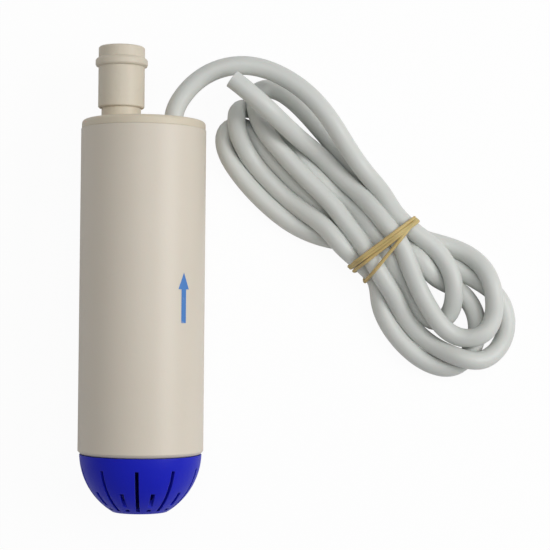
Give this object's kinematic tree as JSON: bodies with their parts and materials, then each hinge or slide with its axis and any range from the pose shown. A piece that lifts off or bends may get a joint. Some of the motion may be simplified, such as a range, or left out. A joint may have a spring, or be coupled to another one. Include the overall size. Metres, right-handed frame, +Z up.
{
  "type": "bilge pump",
  "caption": "Small in-line submersible bilge pump: cylindrical sealed body, slotted strainer dome, offset hose tail, and a supply cable tied in a hank.",
  "frame": {"origin": "on the surface the pump lies on, under the middle of the pump without its outside cable", "axes": "+Y along the pump's axis towards the outlet, +Z up, +X towards the tied cable"},
  "size_m": [0.136, 0.1412, 0.038],
  "materials": {
    "body_tube": "satin moulded plastic, cream",
    "top_cap": "satin moulded plastic, cream",
    "hose_tail": "satin moulded plastic, cream",
    "cable_gland": "matt moulded rubber",
    "cable_tail": "matt cable sheath, light grey",
    "cable_tie": "natural nylon",
    "potting_plug": "cast resin",
    "chamber_tube": "moulded plastic",
    "chamber_lid": "moulded plastic",
    "chamber_rings": "black rubber",
    "pump_base": "moulded plastic",
    "inlet_plate": "moulded plastic",
    "shaft_seal": "black rubber",
    "seal_spacer": "turned washer",
    "motor_screws": "zinc plated",
    "motor_can": "drawn, zinc plated",
    "magnets": "sintered ferrite, dark",
    "front_bush": "sintered bronze",
    "rear_bush": "sintered bronze",
    "end_bell": "black moulded plastic",
    "brushes": "pressed carbon",
    "brush_springs": "rolled strip",
    "terminals": "stamped, tinned",
    "capacitor": "dipped ceramic",
    "lead_positive": "red insulation",
    "lead_negative": "black insulation",
    "shaft": "ground",
    "impeller": "moulded plastic, blue",
    "impeller_nut": "stainless",
    "armature_core": "laminated steel",
    "windings": "enamelled copper wire",
    "commutator": "turned copper",
    "thrust_washers": "fibre and plastic washers",
    "strainer": "moulded plastic, royal blue",
    "cord_lead": "soft cable sheath, light grey",
    "cord_hank": "soft cable sheath, light grey",
    "rubber_band": "natural rubber, tan"
  },
  "bodies": {
    "casing": {"body_tube": "body_tube", "top_cap": "top_cap", "hose_tail": "hose_tail", "cable_gland": "cable_gland", "cable_tail": "cable_tail", "cable_tie": "cable_tie", "potting_plug": "potting_plug", "chamber_tube": "chamber_tube", "chamber_lid": "chamber_lid", "chamber_rings": "chamber_rings", "pump_base": "pump_base", "inlet_plate": "inlet_plate", "shaft_seal": "shaft_seal", "seal_spacer": "seal_spacer", "motor_screws": "motor_screws", "motor_can": "motor_can", "magnets": "magnets", "front_bush": "front_bush", "rear_bush": "rear_bush", "end_bell": "end_bell", "brushes": "brushes", "brush_springs": "brush_springs", "terminals": "terminals", "capacitor": "capacitor", "lead_positive": "lead_positive", "lead_negative": "lead_negative", "cord_lead": "cord_lead", "cord_hank": "cord_hank", "rubber_band": "rubber_band"},
    "rotor": {"shaft": "shaft", "impeller": "impeller", "impeller_nut": "impeller_nut", "armature_core": "armature_core", "windings": "windings", "commutator": "commutator", "thrust_washers": "thrust_washers"},
    "strainer": {"strainer": "strainer"}
  },
  "joints": [
    {"name": "rotor_spin", "type": "hinge", "parent": "casing", "child": "rotor", "pos_m": [0, 0, 0.019], "axis": [0, 1, 0], "continuous": true},
    {"name": "strainer_pull", "type": "slide", "parent": "casing", "child": "strainer", "axis": [0, -1, 0], "range_m": [0, 0.03]}
  ]
}
